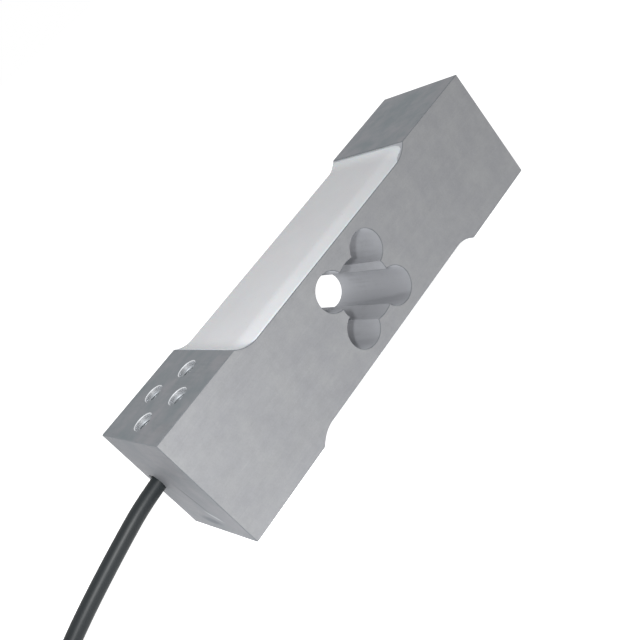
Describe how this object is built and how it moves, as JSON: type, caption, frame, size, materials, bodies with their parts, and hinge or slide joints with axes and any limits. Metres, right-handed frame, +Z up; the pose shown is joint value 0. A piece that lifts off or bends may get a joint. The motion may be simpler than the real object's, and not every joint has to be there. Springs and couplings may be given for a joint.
{
  "type": "strain gauge load cell",
  "caption": "Aluminium beam load cell with a clover-shaped window, white potted recesses above and below, tapped mounting holes at both ends and a hanked cable with bare leads.",
  "frame": {"origin": "bottom centre of the beam, on its underside", "axes": "+X along the beam away from the cable end, +Y towards the side face that the cable lies near, +Z up; the tapped holes of the cable end open upwards"},
  "size_m": [0.3235, 0.046, 0.04],
  "materials": {
    "milled_aluminium": "fine milled, satin",
    "white_silicone": "smooth, slightly glossy",
    "gauge_film": "amber film with a metal foil grid",
    "terminal_board": "green board with solder joints",
    "chip_resistor": "dark ceramic with tinned caps",
    "tinned_wire": "tinned copper",
    "flat_jumper": "amber film",
    "insulation_red": "smooth",
    "insulation_black": "smooth",
    "insulation_green": "smooth",
    "insulation_white": "smooth",
    "black_sealant": "smooth",
    "cable_jacket": "satin dark grey",
    "nylon_tie": "natural nylon",
    "shrink_sleeve": "satin black",
    "shield_lead": "sleeved drain wire"
  },
  "bodies": {
    "root": {"beam": "milled_aluminium", "top_coat": "white_silicone", "bottom_coat": "white_silicone", "gauge_top_near": "gauge_film", "gauge_top_far": "gauge_film", "gauge_bottom_near": "gauge_film", "gauge_bottom_far": "gauge_film", "top_terminal_board": "terminal_board", "bottom_terminal_board": "terminal_board", "span_resistors": "chip_resistor", "zero_resistor": "chip_resistor", "gauge_leads_top": "tinned_wire", "gauge_leads_bottom": "tinned_wire", "jumper_ribbon": "flat_jumper", "inner_wire_red": "insulation_red", "inner_wire_black": "insulation_black", "inner_wire_green": "insulation_green", "inner_wire_white": "insulation_white", "entry_seal": "black_sealant", "cable": "cable_jacket", "cable_hank": "cable_jacket", "cable_tail": "cable_jacket", "cable_tie": "nylon_tie", "end_sleeve": "shrink_sleeve", "lead_red": "insulation_red", "lead_black": "insulation_black", "lead_green": "insulation_green", "lead_white": "insulation_white", "lead_shield": "shield_lead"}
  },
  "joints": []
}
